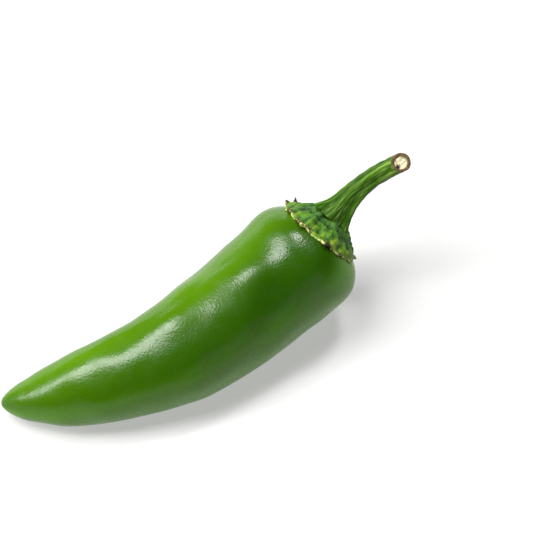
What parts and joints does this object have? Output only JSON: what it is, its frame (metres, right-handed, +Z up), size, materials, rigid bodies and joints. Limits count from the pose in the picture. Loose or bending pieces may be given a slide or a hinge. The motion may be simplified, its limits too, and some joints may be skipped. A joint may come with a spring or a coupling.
{
  "type": "chilli pepper",
  "caption": "Curved green chilli pepper lying on its side: a tapering glossy pod with a blunt tip, a toothed calyx over its shoulder and a ridged, bent stem with a cut end.",
  "frame": {"origin": "On the plane the pepper lies on, under the middle of its bounding box.", "axes": "+X runs along the pepper from the tip towards the stem, +Z is up, and +Y is the far side of the picture's view."},
  "size_m": [0.11, 0.0326, 0.0407],
  "materials": {
    "pod_skin": "glossy",
    "calyx_leaf": "satin",
    "stem_flesh": "satin"
  },
  "bodies": {
    "root": {"pod": "pod_skin", "calyx": "calyx_leaf", "stem": "stem_flesh"}
  },
  "joints": []
}
